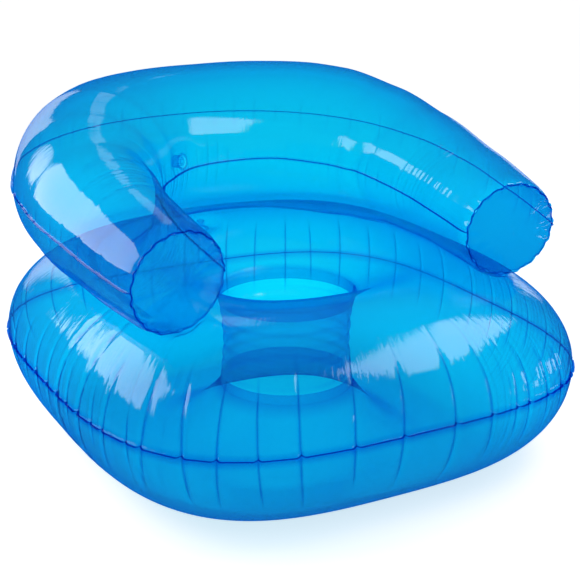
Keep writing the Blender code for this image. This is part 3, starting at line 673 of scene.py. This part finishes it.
# %% Contact between seat and bolster
def pressed_seat(points):
    """Press the seat's top sheet down where the bolster's round underside lies on it."""
    flat = points.reshape(-1, 3)
    apart = flat[:, None, :2] - line_world[None, :, :2]
    nearest = np.linalg.norm(apart, axis=-1).argmin(1)
    apart = apart[np.arange(len(flat)), nearest]
    along = np.abs((apart * line_tangent[nearest, :2]).sum(-1))
    at_end = (nearest == 0) | (nearest == len(line_world) - 1)
    distance = np.linalg.norm(apart, axis=-1) + np.where(at_end, 1.6 * along, 0)
    radius = line_radius[nearest]
    drop = BELLY_SHARE * np.sqrt(np.maximum(radius ** 2 - distance ** 2, 0))
    underside = line_world[nearest, 2] - drop
    bed = contact_height(flat[:, 1])
    ceiling = bed + (underside - bed + np.sqrt((underside - bed) ** 2 + 0.004 ** 2)) / 2
    ceiling = np.where(distance < radius, ceiling, 9.0) - FILM / 2 - GAP - FILM
    over = flat[:, 2] - ceiling
    flat[:, 2] -= np.where(over > -0.03, (over + np.sqrt(over * over + 0.003 ** 2)) / 2, 0)
    return flat.reshape(points.shape)


def pressed_bolster(points):
    """Press the bolster's lower sheet up onto the same plane, with a small radius at the rim."""
    bed = contact_height(points[..., 1]) + FILM / 2 + GAP + FILM
    over = points[..., 2] - bed
    points[..., 2] = bed + (over + np.sqrt(over * over + 0.004 ** 2)) / 2
    return points


print("contact from", round(float(contact_height(SEAT_Y + BOLSTER_END_Y)), 3), "m up")


# %% Valve places
def valve_place(joint, flange):
    """The middle of a valve's flange and its outward axis, read from the frame."""
    axis = np.array(next(item["axis"] for item in frame["joints"] if item["name"] == joint))
    axis = axis / np.linalg.norm(axis)
    points = np.array([vertex.co for vertex in frame["nodes"][flange].data.vertices])
    middle = (points.min(0) + points.max(0)) / 2
    height = points @ axis
    rim = points[height > height.max() - 0.0025]
    middle = rim.mean(0)
    return middle + axis * (height.max() - 0.002 - middle @ axis), axis


seat_valve = valve_place("seat_valve_push", "seat_valve_flange")
bolster_valve = valve_place("bolster_valve_pull", "bolster_valve_flange")
print("valves at", seat_valve[0].round(3), bolster_valve[0].round(3))


def seated(points, valve, inner=0.024, outer=0.060):
    """Bring a film flat under a valve's flange, easing back to its own shape round it."""
    middle, axis = valve
    away = points - middle
    height = away @ axis
    level = np.linalg.norm(away - height[..., None] * axis, axis=-1)
    part = np.clip((outer - level) / (outer - inner), 0, 1)
    part = part * part * (3 - 2 * part)
    close = np.abs(height) < 0.05
    return points - axis * (np.where(close, (height + FILM) * part, 0))[..., None]


def open_for(piece, valve, radius=0.0142):
    """Cut the round hole that the valve's collar passes through, and true its edge."""
    middle, axis = valve
    mesh = piece.data
    co = np.empty(len(mesh.vertices) * 3)
    mesh.vertices.foreach_get("co", co)
    away = co.reshape(-1, 3) - middle
    height = away @ axis
    level = away - height[:, None] * axis
    reach = np.linalg.norm(level, axis=1)
    inside = (reach < radius) & (np.abs(height) < 0.03)
    bpy.ops.object.select_all(action="DESELECT")
    bpy.context.view_layer.objects.active = piece
    piece.select_set(True)
    for kind in (mesh.polygons, mesh.edges, mesh.vertices):
        kind.foreach_set("select", np.zeros(len(kind), bool))
    mesh.vertices.foreach_set("select", inside)
    bpy.ops.object.mode_set(mode="EDIT")
    bpy.ops.mesh.select_mode(type="VERT")
    bpy.ops.mesh.delete(type="VERT")
    bpy.ops.object.mode_set(mode="OBJECT")
    loops = {}
    for polygon in mesh.polygons:
        for key in polygon.edge_keys:
            loops[key] = loops.get(key, 0) + 1
    beside = {}
    for (one, other), count in loops.items():
        if count == 1:
            beside.setdefault(one, []).append(other)
            beside.setdefault(other, []).append(one)
    nearest = min(beside, key=lambda index: np.linalg.norm(np.array(mesh.vertices[index].co) - middle))
    rim, to_visit = set(), [nearest]
    while to_visit:
        index = to_visit.pop()
        if index not in rim:
            rim.add(index)
            to_visit.extend(beside[index])
    for index in sorted(rim):
        vertex = mesh.vertices[index]
        away = np.array(vertex.co) - middle
        height = away @ axis
        level = away - height * axis
        vertex.co = middle + height * axis + level * (radius / np.linalg.norm(level))
    print(piece.name, "hole for a valve,", int(inside.sum()), "crossings removed,", len(rim), "round it")


# %% [markdown]
# ## Seat top sheet
#
# The sheet starts at its hem, turned down inside the column, comes over the ring and the crest, and
# ends past the weld in a narrow margin. Rows lie closer together near the weld, where the pleats
# are deep, and columns lie closer together at each pleat.

# %% Lay the seat top sheet
top_shares = np.concatenate([np.linspace(0, .30, 14), np.linspace(.33, .74, 17),
                             1 - .24 * np.linspace(1, 0, 26)[:-1] ** 1.6, [1.0]])


def top_height(angle, share):
    behind = np.maximum(0, np.cos(angle)) ** 2
    rise = SEAT_RISE + (SEAT_BACK_RISE - SEAT_RISE) * behind
    return SEAM_Z + np.maximum(crown(share, .425, rise, COLUMN_TOP, 2.0), GAP / 2)


def hem_rows(heights, angles):
    rows = []
    for height in heights:
        ring = column_edge(angles, column_radius(height) - GAP)
        ring[:, 2] = SEAM_Z + height
        rows.append(ring)
    return np.stack(rows)


top = seat_rows(top_shares, top_height, TOP_RADIUS - GAP, seat_angles)
hem = hem_rows(np.linspace(COLUMN_TOP - COLUMN_HEM, COLUMN_TOP - .0015, 5), seat_angles)
edge = top[-1] + seat_outward * MARGIN
edge_middle = top[-1] + seat_outward * MARGIN / 2
top = np.concatenate([hem, top, edge_middle[None], edge[None]])
top_weld_row = len(top) - 3
top, top_distance, top_crease_shade = draw_in(top, SEAT_PLEATS, seat_columns, top_weld_row, SEAT_ROUND, True,
                            seat_outward)
top = pressed_seat(top)
top = seated(top, seat_valve)
top_weld = np.zeros(top.shape[:2])
top_weld[:5] = .3
top_weld[5] = 1
top_weld[top_weld_row:] = 1
around = np.broadcast_to(seat_columns, top.shape[:2])
seat_top = lay_sheet("seat_top_film", top, top_weld, top_crease_shade, around, top_distance, True,
                     lambda p: np.stack([p[:, 0] * .6, p[:, 1] * .6, p[:, 2] * 0 + .1], -1))
open_for(seat_top, seat_valve)
thicken(seat_top, seat_film)
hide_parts("seat_top_sheet")

# %% Lay the seat bottom sheet
bottom_shares = np.concatenate([np.linspace(0, .30, 8), np.linspace(.34, .70, 12),
                                1 - .27 * np.linspace(1, 0, 22)[:-1] ** 1.6, [1.0]])


def bottom_height(angle, share):
    drop = crown(share, .460, SEAT_DROP, COLUMN_BOTTOM, 2.5)
    drop = np.minimum(drop, SEAT_DROP - FLOOR_FLAT)
    return SEAM_Z - np.maximum(drop, GAP / 2)


bottom = seat_rows(bottom_shares, bottom_height, BOTTOM_RADIUS - GAP, seat_angles)
hem = hem_rows(np.linspace(COLUMN_HEM - COLUMN_BOTTOM, .0015 - COLUMN_BOTTOM, 5), seat_angles)
edge = bottom[-1] + seat_outward * MARGIN
edge_middle = bottom[-1] + seat_outward * MARGIN / 2
bottom = np.concatenate([hem, bottom, edge_middle[None], edge[None]])
bottom_weld_row = len(bottom) - 3
lower_pleats = [(c, d, w, r * .78, -t) for c, d, w, r, t in SEAT_PLEATS]
bottom, bottom_distance, bottom_crease_shade = draw_in(bottom, lower_pleats, seat_columns, bottom_weld_row, SEAT_ROUND,
                                  True, seat_outward)
bottom[..., 2] = np.maximum(bottom[..., 2], FILM)
bottom_weld = np.zeros(bottom.shape[:2])
bottom_weld[:5] = .3
bottom_weld[5] = 1
bottom_weld[bottom_weld_row:] = 1
around = np.broadcast_to(seat_columns, bottom.shape[:2])
seat_bottom = lay_sheet("seat_bottom_film", bottom, bottom_weld, bottom_crease_shade, around, bottom_distance, True,
                        lambda p: np.stack([p[:, 0] * .6, p[:, 1] * .6, p[:, 2] * 0 + .3], -1))
thicken(seat_bottom, seat_film)
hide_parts("seat_bottom_sheet")

# %% [markdown]
# ## Column wall
#
# The column is a strip rolled into a tube. Air pressure in the cushion squeezes it to a waist, and
# its two ends are welded inside the hems. Where the strip's ends overlap, one narrow lap shows as
# a darker line. The squeezed film can't stay smooth, so shallow folds run round it.

# %% Lay the column wall
LAP_ANGLE = math.radians(105)
wall_angles = LAP_ANGLE + np.linspace(0, 2 * math.pi + .085, 240)
low = -COLUMN_BOTTOM + GAP + FILM
high = COLUMN_TOP - GAP - FILM
wall_heights = np.linspace(low, high, 56)
wall = []
for height in wall_heights:
    lap = np.where(wall_angles - LAP_ANGLE >= 2 * math.pi - .004, FILM + 2 * GAP, 0)
    inside = min(height - low, high - height)
    free = np.clip((inside - COLUMN_HEM) / .020, 0, 1)
    fold = .0016 * math.sin(height * 210) + .0010 * np.sin(height * 96 + 1.5 * np.sin(wall_angles * 2))
    fold = fold + .0008 * np.sin(7 * wall_angles + 40 * height) * np.sin(3 * wall_angles)
    ring = column_edge(wall_angles, column_radius(height) + lap)
    ring += (ring - column_edge(wall_angles, 0)) / WAIST_RADIUS * (fold * free)[:, None]
    ring[:, 2] = SEAM_Z + height
    wall.append(ring)
wall = np.stack(wall)
wall_weld = np.zeros(wall.shape[:2])
inside = np.minimum(wall_heights - low, high - wall_heights)
wall_weld[inside < COLUMN_HEM] = .3
wall_weld[:, :3] = .8
around = np.broadcast_to(wall_angles * WAIST_RADIUS, wall.shape[:2])
across = np.broadcast_to(wall_heights[:, None], wall.shape[:2])
column = lay_sheet("column_wall_film", wall, wall_weld, wall_weld * 0, around, across, False,
                   lambda p: p * 2 - np.array([0, COLUMN_Y, 0]) - np.stack([p[:, 0] * 0, p[:, 1] * 0, p[:, 2]], -1))
thicken(column, column_film)
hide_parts("column_wall")

# %% [markdown]
# ## Bolster sheets
#
# Each bolster sheet is a half tube that follows the line. Its outer weld is longer than the film
# wants, so it has pleats like the seat's. The inner weld is shorter, and inside each bend the
# film crumples into a fan of fine wrinkles. Both are gathered towards their own weld.

# %% Bolster pleats
inner_line = line_centre + line_inward * line_radius[:, None]
outer_line = line_centre - line_inward * line_radius[:, None]
inner_run = np.concatenate([[0], np.cumsum(np.linalg.norm(np.diff(inner_line, axis=0), axis=1))])
outer_run = np.concatenate([[0], np.cumsum(np.linalg.norm(np.diff(outer_line, axis=0), axis=1))])
line_shares = np.linspace(0, 1, 321)
chance = np.random.default_rng(7)

outer_pleats = []
place = 0.10
while place < outer_run[-1] - 0.08:
    outer_pleats.append((place, chance.uniform(.0018, .0032), chance.uniform(.0024, .0030),
                         chance.uniform(.03, .06), chance.uniform(-.1, .1)))
    place += chance.uniform(.045, .085)

inner_pleats = []
spot = .10
while spot < TUBE_LENGTH - .10:
    half = min(spot, TUBE_LENGTH - spot) / TUBE_LENGTH
    in_bend = math.exp(-((half - .150) / .075) ** 2)
    if .045 < half < (.150 if spot < TUBE_LENGTH / 2 else .245):
        strong = .45 if spot < TUBE_LENGTH / 2 else 1.1
        inner_pleats.append((spot, (.0014 + .0034 * in_bend) * chance.uniform(.5, 1.2) * strong,
                             .0029, (.15 + .17 * in_bend) * chance.uniform(.8, 1.1),
                             -.18 if spot < TUBE_LENGTH / 2 else .18))
        spot += chance.uniform(.010, .016)
    else:
        inner_pleats.append((spot, chance.uniform(.0012, .0030), .0026, chance.uniform(.03, .08), 0))
        spot += chance.uniform(.03, .06)
buckles = [(middle * TUBE_LENGTH, depth, width, reach, lean) for middle, depth, width, reach, lean in
           ((.230, .006, .017, .18, -.50), (.262, .003, .012, .12, -.1),
            (.772, .014, .015, .17, .50), (.738, .003, .012, .09, .1))]
print("bolster pleats", len(outer_pleats), "outside,", len(inner_pleats), "inside")


# %% Bolster half tube
def tube_shares():
    """Column places: at each pleat, and evenly between."""
    outer = columns_for(outer_run[-1], .0085, outer_pleats)
    fan = [value / TUBE_LENGTH for spot, _, width, _, _ in inner_pleats
           for value in (spot - 1.2 * width, spot, spot + 1.2 * width)]
    shares = np.concatenate([np.interp(outer, outer_run, line_shares), fan,
                             [0, .002, .004, .0065, .009, .012, 1 - .002, 1 - .004, 1 - .0065, 1 - .009, 1 - .012, 1]])
    shares = np.sort(np.clip(shares, 0, 1))
    keep = [0.0]
    for value in shares:
        if (value - keep[-1]) * TUBE_LENGTH > .0014:
            keep.append(value)
    keep[-1] = 1.0
    return np.array(keep)


def end_ripple(turn, from_end):
    """Small gathers of the tube where its end is welded to the disc."""
    wave = np.sin(19 * turn + 1.2 * np.sin(3 * turn)) + .6 * np.sin(31 * turn + 2)
    return .0017 * wave * np.exp(-(from_end / .016) ** 1.5)


def half_tube(side, belly, shares, steps=52):
    """Rows of a half tube from the outer weld over the tube to the inner weld."""
    centre, tangent, inward, radius = stations(shares)
    turn = (1 - np.cos(np.linspace(0, math.pi, steps))) / 2 * math.pi
    turn = .55 * turn + .45 * np.linspace(0, math.pi, steps)
    across = -np.cos(turn)[:, None, None]
    up = np.sin(turn)[:, None]
    from_end = np.minimum(shares, 1 - shares) * TUBE_LENGTH
    ripple = end_ripple(side * turn[:, None], from_end[None])
    reach = radius[None] + ripple
    points = centre[None] + inward[None] * (across * reach[..., None])
    points[..., 2] += side * up * reach * belly + side * GAP / 2
    steps_run = np.linalg.norm(np.diff(points, axis=0), axis=-1)
    run = np.concatenate([np.zeros((1, len(shares))), np.cumsum(steps_run, 0)])
    to_outer, to_inner = run, run[-1] - run
    outer_place = np.interp(shares, line_shares, outer_run)
    inner_place = shares * TUBE_LENGTH
    drawn_out, crease_shade_out = gathered(outer_place, to_outer, None, outer_pleats)
    drawn_in, crease_shade_in = gathered(inner_place, to_inner, None, inner_pleats)
    drawn_bend, crease_shade_bend = gathered(inner_place, to_inner, None, buckles)
    drawn_in = drawn_in + drawn_bend
    # The crease lines, where the film material paints shade.
    fold = np.maximum(crease_shade_out * .4, np.maximum(crease_shade_in * .8, crease_shade_bend * .6) * np.where(shares > .5, 1, .2))
    fold = np.pad(fold, ((1, 1), (2, 2)), "edge")
    outward = points - centre[None]
    outward /= np.linalg.norm(outward, axis=-1, keepdims=True)
    points = points - outward * (drawn_out + drawn_in)[..., None]
    edge_out = points[0] - inward * MARGIN
    edge_in = points[-1] + inward * MARGIN
    points = np.concatenate([edge_out[None], points, edge_in[None]])
    to_outer = np.concatenate([to_outer[:1] - MARGIN, to_outer, to_outer[-1:] + MARGIN])
    for end in (0, -1):
        away = points[:, end] - centre[end]
        away /= np.linalg.norm(away, axis=-1, keepdims=True)
        flange = points[:, end] + away * .003
        middle = points[:, end] + away * .0015
        pair = [flange[:, None], middle[:, None]]
        points = np.concatenate(pair + [points] if end == 0 else [points] + pair[::-1], 1)
        to_outer = np.concatenate([to_outer[:, :1]] * 2 + [to_outer] if end == 0
                                  else [to_outer] + [to_outer[:, -1:]] * 2, 1)
    return points, to_outer, fold


shares = tube_shares()
upper, upper_across, upper_crease_shade = half_tube(1, 1.0, shares)
upper = to_world(upper)
off_weld = np.clip((upper_across[-2:-1] - upper_across) / 0.025, 0, 1)[..., None]
upper = upper + (seated(upper, bolster_valve) - upper) * off_weld
lower, lower_across, lower_crease_shade = half_tube(-1, BELLY_SHARE, shares, 44)
lower = pressed_bolster(to_world(lower))
tube_place = np.concatenate([[-.005, -.0025], shares * TUBE_LENGTH, [TUBE_LENGTH + .0025, TUBE_LENGTH + .005]])


def tube_weld(rows, columns):
    weld = np.zeros((rows, columns))
    weld[:2] = .5
    weld[-2:] = 1
    weld[:, :3] = 1
    weld[:, -3:] = 1
    return weld


def inside_tube(p):
    gap = np.linalg.norm(p[:, None, :2] - line_world[None, ::4, :2], axis=-1)
    return line_world[::4][gap.argmin(1)]


bolster_upper = lay_sheet("bolster_upper_film", upper, tube_weld(*upper.shape[:2]), upper_crease_shade,
                          np.broadcast_to(tube_place, upper.shape[:2]), upper_across, False, inside_tube)
open_for(bolster_upper, bolster_valve)
thicken(bolster_upper, bolster_film)
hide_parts("bolster_upper_sheet")
bolster_lower = lay_sheet("bolster_lower_film", lower, tube_weld(*lower.shape[:2]), lower_crease_shade,
                          np.broadcast_to(tube_place, lower.shape[:2]), lower_across, False, inside_tube)
thicken(bolster_lower, bolster_film)
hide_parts("bolster_lower_sheet")

# %% [markdown]
# ## Arm end discs
#
# Each arm is closed by a round disc of film. Air domes it, and its rim shares the gathers of the
# tube that it is welded to, so the weld runs in small scallops. Short radial puckers fade towards
# the middle, where the film is smooth.

# %% Lay the arm end discs
END_DOME = 0.009
disc_centre, disc_tangent, disc_inward, disc_radius = stations([0.0, 1.0])


def lay_disc(name, index, sign):
    outward = disc_tangent[index] * sign
    side = np.cross([0, 0, 1], outward)
    turn = np.linspace(0, 2 * math.pi, 241)
    reach = np.concatenate([np.linspace(.004, .8, 15) ** .8, np.linspace(.86, 1, 12)]) * END_RADIUS
    reach = np.concatenate([reach, [END_RADIUS + .0015, END_RADIUS + .003]])
    rows = []
    for value in reach:
        share = min(value / END_RADIUS, 1)
        level = end_ripple(turn, 0) * share ** 6
        pucker = .0014 * np.sin(33 * turn + .8 * np.sin(2 * turn)) * math.exp(-(1 - share) / .10)
        pucker += .0011 * np.sin(16 * turn + 1.3 * np.sin(turn) + 1) * math.exp(-(1 - share) / .30)
        pucker += .0006 * np.sin(5 * turn + 2) * math.exp(-(1 - share) / .5)
        height = FILM + GAP + END_DOME * (1 - share ** 2) + pucker * min(1, (1 - share) * 9)
        spoke = (side[None] * np.cos(turn)[:, None] * sign
                 + np.array([0, 0, 1.0])[None] * np.sin(turn)[:, None])
        rows.append(disc_centre[index][None] + spoke * (value + level)[:, None]
                    + outward[None] * np.reshape(height, (-1, 1)))
    points = to_world(np.stack(rows))
    weld = np.zeros(points.shape[:2])
    weld[-3:] = 1
    around = np.broadcast_to(turn * END_RADIUS, weld.shape)
    across = np.broadcast_to(reach[:, None], weld.shape)
    inside = to_world(disc_centre[index] - outward * .1)
    disc = lay_sheet(name, points, weld, weld * 0, around, across, True, lambda p: inside[None])
    bpy.ops.object.mode_set(mode="EDIT")
    bpy.ops.mesh.select_all(action="DESELECT")
    bpy.ops.object.mode_set(mode="OBJECT")
    middle = points[0].mean(0)
    for vertex in disc.data.vertices:
        vertex.select = (np.array(vertex.co) - middle) @ (np.array(vertex.co) - middle) < (.02 * END_RADIUS) ** 2
    bpy.ops.object.mode_set(mode="EDIT")
    bpy.ops.mesh.edge_face_add()
    bpy.ops.object.mode_set(mode="OBJECT")
    return disc


for name, index, sign in (("right_arm_end", 0, -1), ("left_arm_end", 1, 1)):
    disc = lay_disc(name + "_film", index, sign)
    thicken(disc, lit_and_shaded_disc_films[name.split("_")[0]])
    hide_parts(name + "_disc")

# %% [markdown]
# ## Weld band and valves
#
# The band that joins bolster and seat, and the moulded valves, have their right shapes already,
# so the CAD pieces stay and only get their finishes.

# %% Finish the carried-over pieces
valve_vinyl = film_material("valve vinyl", tint=(0.40, 0.91, 0.99), ripple=(900.0, 900.0), ripple_height=0.0)
weld_vinyl = film_material("weld band vinyl", tint=(0.02, 0.62, 0.92))
for name, node in frame["nodes"].items():
    if node.hide_render:
        continue
    finish = weld_vinyl if name == "bolster_weld_band" else valve_vinyl
    node.data.materials.clear()
    node.data.materials.append(finish)
    print("kept", name)
